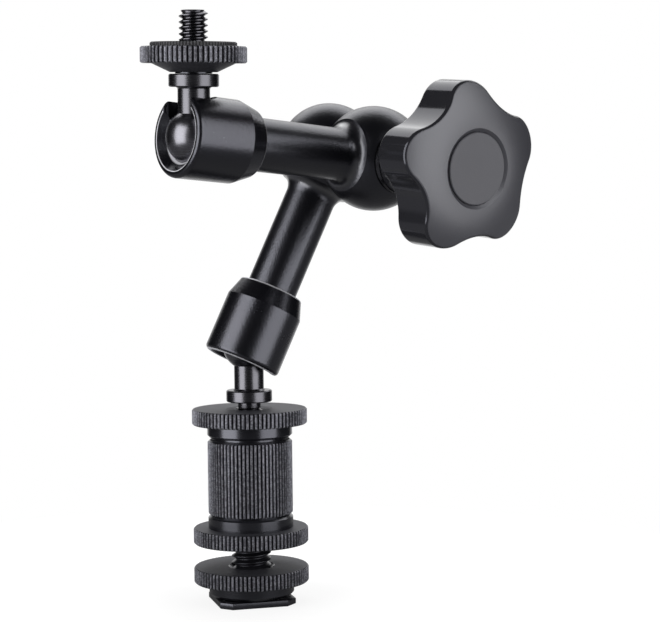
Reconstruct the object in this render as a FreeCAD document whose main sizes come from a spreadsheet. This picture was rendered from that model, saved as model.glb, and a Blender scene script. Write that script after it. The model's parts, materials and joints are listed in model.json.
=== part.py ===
import FreeCAD, Part
import math
import os

import Sketcher
from FreeCAD import Matrix, Placement, Vector

# Driving dimensions: millimetres and degrees
DIMENSIONS = {
    # Shoe foot: the plate that slides into an accessory shoe, and its threaded post
    "foot_width": 18.5,
    "foot_corner": 2.5,
    "foot_thickness": 1.5,
    "foot_edge": 0.25,
    "neck_radius": 6.1,
    "neck_top": 1.75,
    "post_radius": 4.7625,
    "post_top": 30.0,
    # Lock wheels: a knurled disc with a plain collar, used three times
    "wheel_radius": 13.85,
    "wheel_thickness": 3.7,
    "wheel_bevel": 0.3,
    "collar_bevel": 0.6,
    "wheel_teeth": 84,
    "collar_radius": 10.25,
    "collar_height": 3.1,
    "shoe_wheel_base": 4.95,
    "adapter_wheel_top": 18.15,
    "nut_lift": 0.65,
    "nut_headroom": 1.65,
    "sink_radius": 5.6,
    "sink_depth": 0.7,
    # Knurls
    "tooth_depth": 0.45,
    "groove_share": 0.8,
    # Barrel: the knurled sleeve between post and lower ball stud
    "barrel_radius": 10.2,
    "barrel_top": 39.4,
    "barrel_bevel": 0.55,
    "boss_radius": 8.6,
    "barrel_teeth": 66,
    "barrel_web": 1.5,
    # Threads, drawn smooth at their outside diameter
    "thread_gap": 0.05,
    "screw_radius": 3.175,
    "screw_relief": 2.75,
    # Ball studs
    "ball_radius": 6.3,
    "neck_rod_radius": 3.56,
    "flange_radius": 5.52,
    "flange_bevel": 0.25,
    "lower_flange_near": 11.05,
    "lower_flange_far": 13.85,
    "lower_screw_end": 29.0,
    "upper_flange_near": 10.9,
    "upper_flange_far": 13.75,
    "upper_screw_end": 27.45,
    "screw_bevel": 0.6,
    "relief_length": 1.7,
    "screw_slim": 0.05,
    "free_end_gap": 0.3,
    # Upper lock nut and its rubber pad, measured from the upper ball
    "nut_hub_radius": 4.1,
    "nut_cone_start": 14.1,
    "nut_cone_radius": 5.2,
    "nut_rim_near": 16.05,
    "nut_cone_end_radius": 9.3,
    "nut_rim_far": 19.65,
    "nut_radius": 11.65,
    "nut_teeth": 64,
    "pad_radius": 9.5,
    "pad_hole_radius": 4.2,
    "pad_proud": 0.95,
    "pad_sunk": 0.35,
    # Socket cup, measured from the ball's centre
    "cup_radius": 9.35,
    "mouth_reach": 4.8,
    "mouth_radius": 7.85,
    "mouth_round": 1.1,
    "lip_reach": 2.6,
    "ball_gap": 0.08,
    "cup_bore_radius": 6.45,
    "cup_straight": 9.7,
    "cup_back": 14.3,
    "cup_back_radius": 7.75,
    "cup_back_round": 0.5,
    "slot_half_width": 4.95,
    "slot_back": 4.65,
    "slot_flare": 1.5,
    # Ball seat and push rod
    "seat_rim": 4.0,
    "seat_back": 8.0,
    "seat_gap": 0.07,
    "rod_radius": 2.7,
    "rod_gap": 0.08,
    "rod_lead": 0.05,
    # Arm casting: threaded end, tube and hub, measured from the ball's centre
    "spigot_radius": 6.95,
    "spigot_gap": 0.05,
    "spigot_start": 8.3,
    "spigot_end": 13.95,
    "tube_radius": 6.08,
    "arm_length": 50.75,
    "hub_radius": 12.385,
    "flare_start": 12.2,
    "flare_radius": 3.33,
    "hub_spacing": 17.41,
    "hub_face_gap": 0.3,
    "hub_flat_reach": 9.8,
    "hub_bore_radius": 6.55,
    "hub_web": 3.6,
    # Pieces on the pivot axis, measured from the mating plane of the hubs
    "wedge_gap": 0.05,
    "wedge_thin_end": 3.805,
    "wedge_ramp_end": 3.895,
    "wedge_ramp_low": 3.9,
    "front_wedge_end": 10.295,
    "bolt_radius": 3.0,
    "bolt_gap": 0.1,
    "bolt_head_radius": 5.2,
    "bolt_head_thickness": 2.0,
    "bolt_head_room": 1.105,
    "bolt_short": 2.0,
    "plug_thickness": 1.0,
    "plug_gap": 0.02,
    "bush_radius": 5.6,
    "bush_bore_radius": 4.7,
    "bush_gap": 0.03,
    "friction_radius": 7.5,
    "friction_recess": 0.5,
    "friction_gap": 0.02,
    "spring_radius": 3.95,
    "spring_wire_radius": 0.4,
    "spring_turns": 5,
    "thrust_radius": 7.6,
    "thrust_thickness": 1.2,
    # Star knob, measured from the same plane
    "stem_gap": 0.05,
    "stem_radius": 7.4,
    "stem_root_radius": 8.8,
    "stem_length": 13.45,
    "knob_depth": 9.3,
    "knob_dome": 2.5,
    "knob_round": 0.9,
    "lobe_centre": 13.0,
    "lobe_radius": 6.4,
    "valley_radius": 12.7,
    "ring_radius": 8.95,
    "ring_bevel": 0.5,
    "cap_radius": 8.05,
    "cap_thickness": 2.0,
    "cap_gap": 0.12,
    "cap_sunk": 0.08,
    "cap_bevel": 0.2,
    "insert_radius": 4.9,
    "insert_depth": 5.0,
    # Stored pose
    "arm_lean": 25.73,
    "arm_heading": 9.85,
    "pivot_roll": -76.80,
    "elbow_angle": 69.32,
    "stud_swing": 83.39,
    "stud_roll": 88.50,
    "lower_slot_roll": 90.00,
    "upper_slot_roll": 82.50,
    "knob_turn": 25.2,
}

KNOB_LOBES = 5

doc = FreeCAD.newDocument("friction_arm")
sheet = doc.addObject("Spreadsheet::Sheet", "Sizes")


def fill_sheet():
    for row, (name, value) in enumerate(DIMENSIONS.items(), start=1):
        sheet.set(f"A{row}", name)
        sheet.set(f"B{row}", str(value))
        sheet.setAlias(f"B{row}", name)
    doc.recompute()


class Size:
    """A number worked out from the sheet, kept with the expression that gives it."""

    def __init__(self, text, value):
        self.text = text
        self.value = value

    def __add__(self, other):
        other = sized(other)
        return Size(f"({self.text} + {other.text})", self.value + other.value)

    def __radd__(self, other):
        return sized(other) + self

    def __sub__(self, other):
        other = sized(other)
        return Size(f"({self.text} - {other.text})", self.value - other.value)

    def __rsub__(self, other):
        return sized(other) - self

    def __mul__(self, other):
        other = sized(other)
        return Size(f"({self.text} * {other.text})", self.value * other.value)

    def __rmul__(self, other):
        return sized(other) * self

    def __truediv__(self, other):
        other = sized(other)
        return Size(f"({self.text} / {other.text})", self.value / other.value)

    def __neg__(self):
        return sized(0) - self


def sized(number):
    return number if isinstance(number, Size) else Size(f"{number:.9f}", float(number))


def size(name):
    return Size(f"Sizes.{name}", float(getattr(sheet, name)))


def stud_nut_base():
    """Height of the lower lock nut's disc, its collar just clear of the barrel."""
    return size("barrel_top") + size("nut_lift") + size("collar_height")


def lower_ball_height():
    """Height of the lower ball's centre in the stored pose."""
    nut_top = stud_nut_base() + size("wheel_thickness")
    return nut_top + size("nut_headroom") + size("lower_flange_far")


def wedge_inner():
    """Distance of both wedges' thin ends from the mating plane of the hubs."""
    return size("hub_spacing") / 2 - size("wedge_thin_end")


def front_wedge_outer():
    return size("hub_spacing") / 2 + size("front_wedge_end")


def rear_wedge_outer():
    """Outer end of the rear wedge, which leaves room for the bolt's head and the plug."""
    plug_base = size("hub_spacing") / 2 + size("hub_flat_reach") - size("plug_thickness")
    return plug_base - size("bolt_head_room") - size("bolt_head_thickness")


def stem_base():
    return front_wedge_outer() + size("thrust_thickness") + size("stem_gap")


def knob_back():
    return stem_base() + size("stem_length")


def knob_crown():
    return knob_back() + size("knob_depth") + size("knob_dome")


def insert_end():
    return knob_back() + size("insert_depth")


def root(number):
    return Size(f"sqrt({number.text})", math.sqrt(number.value))


def cosine(angle):
    return Size(f"cos({angle.text})", math.cos(math.radians(angle.value)))


def sine(angle):
    return Size(f"sin({angle.text})", math.sin(math.radians(angle.value)))


class Free(float):
    """A first guess of a coordinate that the sketch solves by itself."""


class Arc:
    """A round stretch of an outline, between the corners before and after it."""

    def __init__(self, x, y):
        self.x = x
        self.y = y


def number(coordinate):
    return coordinate.value if isinstance(coordinate, Size) else float(coordinate)


def bind(sketch, geometry, point, x, y):
    """Ties one point of a sketch to its place, leaving out free coordinates."""
    for kind, coordinate, axis in (("DistanceX", x, -2), ("DistanceY", y, -1)):
        if isinstance(coordinate, Free):
            continue
        if not isinstance(coordinate, Size) and coordinate == 0:
            sketch.addConstraint(Sketcher.Constraint("PointOnObject", geometry, point, axis))
            continue
        place = sized(coordinate)
        rule = Sketcher.Constraint(kind, -1, 1, geometry, point, place.value)
        index = sketch.addConstraint(rule)
        sketch.setExpression(f"Constraints[{index}]", place.text)


def draw_outline(sketch, items):
    """Draws a closed outline through the corners, straight or along an arc between them."""
    corners, arcs = [], []
    for item in items:
        if isinstance(item, Arc):
            arcs[-1] = item
        else:
            corners.append(item)
            arcs.append(None)
    spots = [Vector(number(x), number(y), 0) for x, y in corners]
    edges = []
    for index, arc in enumerate(arcs):
        start, end = spots[index], spots[(index + 1) % len(spots)]
        if arc is None:
            geometry = sketch.addGeometry(Part.LineSegment(start, end))
            edges.append((geometry, 1, 2))
            continue
        centre = Vector(number(arc.x), number(arc.y), 0)
        first, last = start - centre, end - centre
        onward = first.cross(last).z > -1e-6
        if not onward:
            first, last = last, first
        begin, finish = (math.atan2(v.y, v.x) for v in (first, last))
        circle = Part.Circle(centre, Vector(0, 0, 1), (start - centre).Length)
        geometry = sketch.addGeometry(Part.ArcOfCircle(circle, begin, finish))
        edges.append((geometry, 1, 2) if onward else (geometry, 2, 1))
    for index, (geometry, _, end) in enumerate(edges):
        following, begin, _ = edges[(index + 1) % len(edges)]
        rule = Sketcher.Constraint("Coincident", geometry, end, following, begin)
        sketch.addConstraint(rule)
    for (geometry, begin, _), (x, y), arc in zip(edges, corners, arcs):
        bind(sketch, geometry, begin, x, y)
        if arc is not None:
            bind(sketch, geometry, 3, arc.x, arc.y)


def draw_circle(sketch, x, y, radius):
    centre = Vector(number(x), number(y), 0)
    circle = Part.Circle(centre, Vector(0, 0, 1), radius.value)
    geometry = sketch.addGeometry(circle)
    bind(sketch, geometry, 3, x, y)
    index = sketch.addConstraint(Sketcher.Constraint("Radius", geometry, radius.value))
    sketch.setExpression(f"Constraints[{index}]", radius.text)


def new_body(label):
    body = doc.addObject("PartDesign::Body", label)
    body.Label = label
    return body


def origin_feature(body, role):
    return next(item for item in body.Origin.OriginFeatures if item.Role == role)


def new_sketch(body, name, role, lift=None):
    """A sketch on one of the body's own planes, lifted along the plane's normal."""
    sketch = body.newObject("Sketcher::SketchObject", name)
    sketch.AttachmentSupport = [(origin_feature(body, role), "")]
    sketch.MapMode = "FlatFace"
    if lift is not None:
        sketch.setExpression("AttachmentOffset.Base.z", lift.text)
    return sketch


def turn(body, name, items, kind="PartDesign::Revolution"):
    """Turns an outline of (radius, height) corners about the body's Z axis."""
    sketch = new_sketch(body, name + "_section", "XZ_Plane")
    draw_outline(sketch, items)
    feature = body.newObject(kind, name)
    feature.Profile = sketch
    feature.ReferenceAxis = (sketch, ["V_Axis"])
    feature.Angle = 360
    doc.recompute()
    return feature


def pocket(body, name, sketch, depth=None, backwards=False, midplane=False):
    """Cuts a sketch through the body, or to a depth, and checks that it took something."""
    before = body.Shape.Volume
    feature = body.newObject("PartDesign::Pocket", name)
    feature.Profile = sketch
    feature.Type = "ThroughAll" if depth is None else "Length"
    if depth is not None:
        feature.setExpression("Length", depth.text)
    feature.Reversed = backwards
    feature.Midplane = midplane
    doc.recompute()
    if not body.Shape.Volume < before - 1e-6:
        raise ValueError(f"{name} of {body.Label} cuts nothing")
    return feature


def round_edges(body, base, name, radius, rings):
    """Rounds the full circles of a turned body that lie at the given (radius, height)."""
    found = []
    for index, edge in enumerate(base.Shape.Edges, start=1):
        curve = edge.Curve
        if not isinstance(curve, Part.Circle):
            continue
        for ring_radius, height in rings:
            near = abs(curve.Radius - ring_radius.value) < 1e-3
            if near and abs(curve.Center.z - height.value) < 1e-3:
                found.append(f"Edge{index}")
    feature = body.newObject("PartDesign::Fillet", name)
    feature.Base = (base, found)
    feature.setExpression("Radius", radius.text)
    doc.recompute()
    return feature


def knurl(body, name, radius, teeth, low):
    """Cuts one upright V groove above a height and repeats it round the body."""
    pitch = 2 * math.pi * radius / teeth
    half = pitch * size("groove_share") / 2
    depth = size("tooth_depth")
    spare = depth / 2
    sketch = new_sketch(body, name + "_section", "XY_Plane", low)
    slope = half / depth
    draw_outline(
        sketch,
        [
            (radius - depth, 0),
            (radius + spare, slope * (depth + spare)),
            (radius + spare, -slope * (depth + spare)),
        ],
    )
    groove = pocket(body, name + "_groove", sketch, backwards=True)
    pattern = body.newObject("PartDesign::PolarPattern", name)
    pattern.Originals = [groove]
    pattern.Axis = (origin_feature(body, "Z_Axis"), [""])
    pattern.Angle = 360
    pattern.setExpression("Occurrences", teeth.text)
    body.Tip = pattern
    doc.recompute()
    return pattern


# Frames of the stored pose


def frame(origin, upward, across):
    """The placement whose Z axis runs along upward and whose X axis lies nearest across."""
    z = Vector(upward).normalize()
    x = Vector(across) - z * z.dot(across)
    x.normalize()
    y = z.cross(x)
    rows = (x.x, y.x, z.x, origin.x, x.y, y.y, z.y, origin.y, x.z, y.z, z.z, origin.z)
    return Placement(Matrix(*rows, 0, 0, 0, 1))


def turned_about(vector, axis, degrees):
    return FreeCAD.Rotation(axis, degrees).multVec(vector)


def at_height(height):
    return Placement(Vector(0, 0, height), FreeCAD.Rotation())


def rolled(place, degrees):
    """The same placement turned about its own Z axis."""
    spin = FreeCAD.Rotation(Vector(0, 0, 1), degrees)
    return Placement(place.Base, place.Rotation.multiply(spin))


class Pose:
    """Places and directions of the stored pose, from the foot up to the camera screw."""

    def __init__(self):
        up = Vector(0, 0, 1)
        lean = FreeCAD.Rotation(Vector(0, 1, 0), size("arm_lean").value)
        heading = FreeCAD.Rotation(up, size("arm_heading").value)
        roll = FreeCAD.Rotation(up, size("pivot_roll").value)
        whole = heading.multiply(lean).multiply(roll)
        length = size("arm_length").value
        spacing = size("hub_spacing").value
        self.lower_axis = whole.multVec(up)
        self.pivot = whole.multVec(Vector(1, 0, 0))
        self.lower_ball = Vector(0, 0, lower_ball_height().value)
        self.lower_hub = self.lower_ball + self.lower_axis * length
        self.middle = self.lower_hub + self.pivot * (spacing / 2)
        self.upper_hub = self.lower_hub + self.pivot * spacing
        elbow = -size("elbow_angle").value
        self.upper_axis = turned_about(self.lower_axis, self.pivot, elbow)
        self.upper_ball = self.upper_hub - self.upper_axis * length
        self.lower_arm = frame(self.lower_ball, self.lower_axis, self.pivot)
        self.upper_arm = frame(self.upper_ball, self.upper_axis, -self.pivot)
        self.pivot_frame = frame(self.middle, self.pivot, up.cross(self.pivot))
        self.front_wedge = frame(self.middle, self.pivot, -self.upper_axis)
        self.rear_wedge = frame(self.middle, -self.pivot, -self.lower_axis)
        side = rolled(self.upper_arm, size("stud_roll").value)
        sideways = side.Rotation.multVec(Vector(1, 0, 0))
        swing = math.radians(size("stud_swing").value)
        outward = -self.upper_axis
        self.screw_axis = outward * math.cos(swing) + sideways * math.sin(swing)
        self.upper_stud = frame(self.upper_ball, self.screw_axis, self.upper_axis)
        self.lower_stud = frame(self.lower_ball, -up, Vector(1, 0, 0))


# Shoe adapter at the foot of the arm


def shoe_foot():
    """Square shoe plate with cut corners, a short neck and the threaded post above it."""
    body = new_body("shoe_foot")
    half = size("foot_width") / 2
    inner = half - size("foot_corner")
    plate = new_sketch(body, "plate_outline", "XY_Plane")
    corners = [(half, inner), (inner, half)]
    corners += [(-x, y) for x, y in reversed(corners)]
    corners += [(x, -y) for x, y in reversed(corners)]
    draw_outline(plate, corners)
    pad = body.newObject("PartDesign::Pad", "plate")
    pad.Profile = plate
    pad.setExpression("Length", size("foot_thickness").text)
    doc.recompute()
    rims = []
    for index, edge in enumerate(pad.Shape.Edges, start=1):
        if abs(edge.BoundBox.ZLength) < 1e-6:
            rims.append(f"Edge{index}")
    bevel = body.newObject("PartDesign::Chamfer", "plate_edges")
    bevel.Base = (pad, rims)
    bevel.setExpression("Size", size("foot_edge").text)
    doc.recompute()
    thread, bevel_size = size("post_radius"), size("screw_bevel")
    turn(
        body,
        "post",
        [
            (0, size("foot_thickness") / 2),
            (size("neck_radius"), size("foot_thickness") / 2),
            (size("neck_radius"), size("neck_top")),
            (thread, size("neck_top")),
            (thread, size("post_top") - bevel_size),
            (thread - bevel_size, size("post_top")),
            (0, size("post_top")),
        ],
    )
    return body


def lock_wheel(label, bore, place):
    """Knurled disc on a plain collar; the disc's inner face lies at height 0."""
    body = new_body(label)
    wide, collar = size("wheel_radius"), size("collar_radius")
    bevel, top = size("wheel_bevel"), size("wheel_thickness")
    low, edge = -size("collar_height"), size("collar_bevel")
    turn(
        body,
        "blank",
        [
            (bore, low),
            (collar - edge, low),
            (collar, low + edge),
            (collar, 0),
            (wide - bevel, 0),
            (wide, bevel),
            (wide, top - bevel),
            (wide - bevel, top),
            (size("sink_radius"), top),
            (bore, top - size("sink_depth")),
        ],
    )
    knurl(body, "knurl", wide, size("wheel_teeth"), -bevel)
    body.Placement = place
    return body


def adapter_barrel():
    """Knurled sleeve, bored from below for the post and from above for the stud."""
    body = new_body("adapter_barrel")
    wide, bevel = size("barrel_radius"), size("barrel_bevel")
    low, top = size("adapter_wheel_top") + size("collar_height"), size("barrel_top")
    boss_top = stud_nut_base() - size("collar_height")
    post = size("post_radius") + size("thread_gap")
    screw = size("screw_radius") + size("thread_gap")
    floor = size("post_top") + size("barrel_web") / 2
    turn(
        body,
        "blank",
        [
            (post, low),
            (wide - bevel, low),
            (wide, low + bevel),
            (wide, top - bevel),
            (wide - bevel, top),
            (size("boss_radius"), top),
            (size("boss_radius"), boss_top),
            (screw, boss_top),
            (screw, floor),
            (post, floor),
        ],
    )
    knurl(body, "knurl", wide, size("barrel_teeth"), low)
    return body


# Ball studs with their lock nuts


def ball_stud(label, near, far, full, end, place):
    """Ball, neck, flange and screw turned from one bar, the ball's centre at the origin.

    The screw is a hair slimmer below the height at which its free end starts.
    """
    body = new_body(label)
    ball, neck = size("ball_radius"), size("neck_rod_radius")
    flange, edge = size("flange_radius"), size("flange_bevel")
    screw, relief = size("screw_radius"), size("screw_relief")
    bevel = size("screw_bevel")
    slim = screw - size("screw_slim")
    turn(
        body,
        "stud",
        [
            (0, -ball),
            Arc(0, 0),
            (neck, Free(math.sqrt(ball.value**2 - neck.value**2))),
            (neck, near),
            (flange - edge, near),
            (flange, near + edge),
            (flange, far - edge),
            (flange - edge, far),
            (relief, far),
            (relief, far + size("relief_length")),
            (slim, far + size("relief_length") + (slim - relief)),
            (screw, full),
            (screw, end - bevel),
            (screw - bevel, end),
            (0, end),
        ],
    )
    body.Placement = place
    return body


def upper_lock_nut(place):
    """Knurled nut with a cone below its rim and a shallow recess for the pad above."""
    body = new_body("upper_lock_nut")
    bore = size("screw_radius") + size("thread_gap")
    wide, bevel = size("nut_radius"), size("wheel_bevel")
    low, top = size("nut_rim_near"), size("nut_rim_far")
    hub_base = size("upper_flange_far") + size("thread_gap")
    recess = top - size("pad_sunk")
    turn(
        body,
        "blank",
        [
            (bore, hub_base),
            (size("nut_hub_radius"), hub_base),
            (size("nut_hub_radius"), size("nut_cone_start")),
            (size("nut_cone_radius"), size("nut_cone_start")),
            (size("nut_cone_end_radius"), low),
            (wide - bevel, low),
            (wide, low + bevel),
            (wide, top - bevel),
            (wide - bevel, top),
            (size("pad_radius") + size("thread_gap"), top),
            (size("pad_radius") + size("thread_gap"), recess),
            (bore, recess),
        ],
    )
    knurl(body, "knurl", wide, size("nut_teeth"), low - bevel)
    body.Placement = place
    return body


def camera_pad(place):
    """Rubber ring set into the nut's face, which grips the camera's base."""
    body = new_body("camera_pad")
    wide, hole = size("pad_radius"), size("pad_hole_radius")
    low = size("nut_rim_far") - size("pad_sunk")
    top = size("nut_rim_far") + size("pad_proud")
    edge = size("flange_bevel")
    turn(
        body,
        "ring",
        [(hole, low), (wide, low), (wide, top - edge), (wide - edge, top), (hole, top)],
    )
    body.Placement = place
    return body


# Arms: casting, socket cup, ball seat and push rod


def arm_casting(label, place):
    """Threaded end, tube with its flare and hub in one piece, drilled for rod and wedge."""
    body = new_body(label)
    hole = size("rod_radius") + size("rod_gap")
    spigot, tube = size("spigot_radius"), size("tube_radius")
    start, end = size("spigot_start"), size("spigot_end")
    length, hub = size("arm_length"), size("hub_radius")
    flare, flare_start = size("flare_radius"), size("flare_start")
    meet = flare_start.value - flare.value * 0.96
    turn(
        body,
        "casting",
        [
            (hole, start),
            (spigot, start),
            (spigot, end),
            (tube, end),
            (tube, length - flare_start),
            Arc(tube + flare, length - flare_start),
            (
                Free(math.sqrt(hub.value**2 - meet**2)),
                Free(length.value - meet),
            ),
            Arc(0, length),
            (0, length + hub),
            (0, length),
            (hole, length),
        ],
    )
    mate = size("hub_spacing") / 2 - size("hub_face_gap") / 2
    flat = size("hub_flat_reach")
    beyond = 2 * hub
    for name, near, far in (("mating_face", mate, beyond), ("outer_flat", -flat, -beyond)):
        sketch = new_sketch(body, name + "_outline", "XZ_Plane")
        corners = [
            (near, length - beyond),
            (far, length - beyond),
            (far, length + beyond),
            (near, length + beyond),
        ]
        draw_outline(sketch, corners)
        pocket(body, name, sketch, midplane=True)
    floor = size("hub_spacing") / 2 - size("hub_web")
    bores = (
        ("wedge_bore", size("hub_bore_radius"), floor, False),
        ("bush_bore", size("bush_radius") + size("bush_gap"), floor, True),
        (
            "washer_recess",
            size("friction_radius") + size("thread_gap"),
            mate - size("friction_recess"),
            True,
        ),
    )
    for name, radius, reach, towards_mate in bores:
        sketch = new_sketch(body, name + "_outline", "YZ_Plane", reach)
        draw_circle(sketch, 0, length, radius)
        pocket(body, name, sketch, backwards=towards_mate)
    body.Placement = place
    return body


def socket_cup(label, place):
    """Screwed cup that holds the ball behind its lip, with a slot for the stud's neck."""
    body = new_body(label)
    wide, mouth = size("cup_radius"), -size("mouth_reach")
    ball = size("ball_radius") + size("ball_gap")
    lip = -size("lip_reach")
    bore = size("cup_bore_radius")
    thread = size("spigot_radius") + size("spigot_gap")
    start, back = size("spigot_start"), size("cup_back")
    lip_radius = root(ball * ball - lip * lip)
    cup = turn(
        body,
        "cup",
        [
            (ball, 0),
            Arc(0, 0),
            (Free(lip_radius.value), lip),
            (size("mouth_radius"), mouth),
            (wide, mouth),
            (wide, size("cup_straight")),
            (size("cup_back_radius"), back),
            (thread, back),
            (thread, start),
            (bore, start),
            (bore, 0),
        ],
    )
    rim = round_edges(body, cup, "mouth_edge", size("mouth_round"), [(wide, mouth)])
    ring = (size("cup_back_radius"), back)
    round_edges(body, rim, "back_edge", size("cup_back_round"), [ring])
    half, deep = size("slot_half_width"), size("slot_back")
    bend, flare = deep - half, size("slot_flare")
    wider, turning = half + flare, mouth + flare * 0.85
    slot = new_sketch(body, "slot_outline", "YZ_Plane")
    draw_outline(
        slot,
        [
            (-wider, 2 * mouth),
            (wider, 2 * mouth),
            (wider, turning - flare),
            Arc(Free(wider.value), turning),
            (half, turning),
            (half, bend),
            Arc(Free(0), bend),
            (-half, bend),
            (-half, turning),
            Arc(Free(-wider.value), turning),
            (-wider, turning - flare),
        ],
    )
    pocket(body, "slot", slot, backwards=True)
    body.Placement = place
    return body


def ball_seat(label, place):
    """Short plug with a hollow face that presses on the back of the ball."""
    body = new_body(label)
    ball = size("ball_radius") + size("ball_gap")
    rim, back = size("seat_rim"), size("seat_back")
    wide = size("cup_bore_radius") - size("seat_gap")
    turn(
        body,
        "seat",
        [
            (0, ball),
            Arc(0, 0),
            (Free(math.sqrt(ball.value**2 - rim.value**2)), rim),
            (wide, rim),
            (wide, back),
            (0, back),
        ],
    )
    body.Placement = place
    return body


def wedge_ramp():
    """Two points of the wedge's ramp as (distance from the mating plane, radius)."""
    reach = size("hub_spacing") / 2 + size("wedge_ramp_end")
    outer = (reach, size("hub_bore_radius") - size("wedge_gap"))
    inner = (wedge_inner(), size("wedge_ramp_low"))
    return outer, inner


def push_rod(label, place):
    """Straight rod from ball seat to wedge, its far end cut to the slope of the ramp."""
    body = new_body(label)
    radius, lead = size("rod_radius"), size("rod_lead")
    start = size("seat_back") + lead
    length = size("arm_length")
    turn(body, "rod", [(0, start), (radius, start), (radius, length), (0, length)])
    (outer, high), (inner, low) = wedge_ramp()
    slope = (high - low) / (outer - inner)
    half_spacing = size("hub_spacing") / 2
    reach = 2 * radius
    tip = new_sketch(body, "ramp_outline", "XZ_Plane")
    corners = []
    for across in (-reach, reach):
        away = half_spacing - across
        corners.append((across, length - (low + slope * (away - inner)) - lead))
    corners += [(reach, 2 * length), (-reach, 2 * length)]
    draw_outline(tip, corners)
    pocket(body, "ramp_end", tip, midplane=True)
    body.Placement = place
    return body


# Clamp on the pivot axis


def wedge(label, outer_end, place):
    """Round wedge with an inclined flat, its thin end at the middle of the elbow."""
    body = new_body(label)
    wide = size("hub_bore_radius") - size("wedge_gap")
    bore = size("bolt_radius") + size("bolt_gap")
    low = wedge_inner()
    turn(body, "blank", [(bore, low), (wide, low), (wide, outer_end), (bore, outer_end)])
    (outer, high), (inner, thin) = wedge_ramp()
    slope = (high - thin) / (outer - inner)
    spare = size("tooth_depth")
    ramp = new_sketch(body, "ramp_outline", "XZ_Plane")
    corners = [
        (thin - slope * spare, inner - spare),
        (2 * wide, inner - spare),
        (2 * wide, outer + spare),
        (high + slope * spare, outer + spare),
    ]
    draw_outline(ramp, corners)
    pocket(body, "ramp", ramp, midplane=True)
    body.Placement = place
    return body


def centre_bolt(place):
    """Clamp bolt: head behind the rear wedge, thread in the knob's insert."""
    body = new_body("centre_bolt")
    shank, head = size("bolt_radius"), size("bolt_head_radius")
    seat = -rear_wedge_outer()
    back = seat - size("bolt_head_thickness")
    bevel, end = size("screw_bevel"), insert_end() - size("bolt_short")
    edge = size("flange_bevel")
    turn(
        body,
        "bolt",
        [
            (0, back),
            (head - edge, back),
            (head, back + edge),
            (head, seat),
            (shank, seat),
            (shank, end - bevel),
            (shank - bevel, end),
            (0, end),
        ],
    )
    body.Placement = place
    return body


def ring_on_axis(label, inner, outer, low, high, place):
    """A plain washer, bush or disc on the pivot axis."""
    body = new_body(label)
    turn(body, "ring", [(inner, low), (outer, low), (outer, high), (inner, high)])
    body.Placement = place
    return body


def return_spring(place):
    """Coil that pushes the two wedges apart when the knob is slackened."""
    mean, wire = size("spring_radius").value, size("spring_wire_radius").value
    reach = wedge_inner().value - wire
    pitch = 2 * reach / size("spring_turns").value
    path = Part.makeHelix(pitch, 2 * reach, mean)
    path.translate(Vector(0, 0, -reach))
    start = Vector(mean, 0, -reach)
    across = Vector(0, mean * 2 * math.pi, pitch)
    circle = Part.makeCircle(wire, start, across)
    coil = Part.Wire(path).makePipeShell([Part.Wire(circle)], True, True)
    spring = doc.addObject("Part::Feature", "return_spring")
    spring.Label = "return_spring"
    spring.Shape = coil
    spring.Placement = place
    return spring


# Star knob


def draw_star(sketch):
    """Five round lobes joined by hollow arcs, every joint tangent."""
    centre, lobe = size("lobe_centre"), size("lobe_radius")
    valley = size("valley_radius")
    step = sized(360 / KNOB_LOBES)
    half = math.radians(step.value / 2)
    reach = centre.value * math.cos(half)
    joint = lobe.value + valley.value
    across = centre.value * math.sin(half)
    valley_reach = reach + math.sqrt(joint**2 - across**2)
    towards = Vector(
        valley_reach * math.cos(half) - centre.value, valley_reach * math.sin(half), 0
    )
    opening = math.atan2(towards.y, towards.x)
    lobes, valleys = [], []
    for count in range(KNOB_LOBES):
        angle = step * count
        turned = math.radians(angle.value)
        spot = Vector(centre.value * math.cos(turned), centre.value * math.sin(turned), 0)
        circle = Part.Circle(spot, Vector(0, 0, 1), lobe.value)
        arc = Part.ArcOfCircle(circle, turned - opening, turned + opening)
        lobes.append(sketch.addGeometry(arc))
        middle = turned + half
        hollow = Vector(valley_reach * math.cos(middle), valley_reach * math.sin(middle), 0)
        circle = Part.Circle(hollow, Vector(0, 0, 1), valley.value)
        lift = opening - half
        arc = Part.ArcOfCircle(circle, middle + math.pi - lift, middle + math.pi + lift)
        valleys.append(sketch.addGeometry(arc))
    for count in range(KNOB_LOBES):
        angle = step * count
        bind(sketch, lobes[count], 3, centre * cosine(angle), centre * sine(angle))
        for geometry, radius in ((lobes[count], lobe), (valleys[count], valley)):
            index = sketch.addConstraint(
                Sketcher.Constraint("Radius", geometry, radius.value)
            )
            sketch.setExpression(f"Constraints[{index}]", radius.text)
        following = lobes[(count + 1) % KNOB_LOBES]
        sketch.addConstraint(
            Sketcher.Constraint("Tangent", lobes[count], 2, valleys[count], 2)
        )
        sketch.addConstraint(
            Sketcher.Constraint("Tangent", valleys[count], 1, following, 1)
        )


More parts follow.
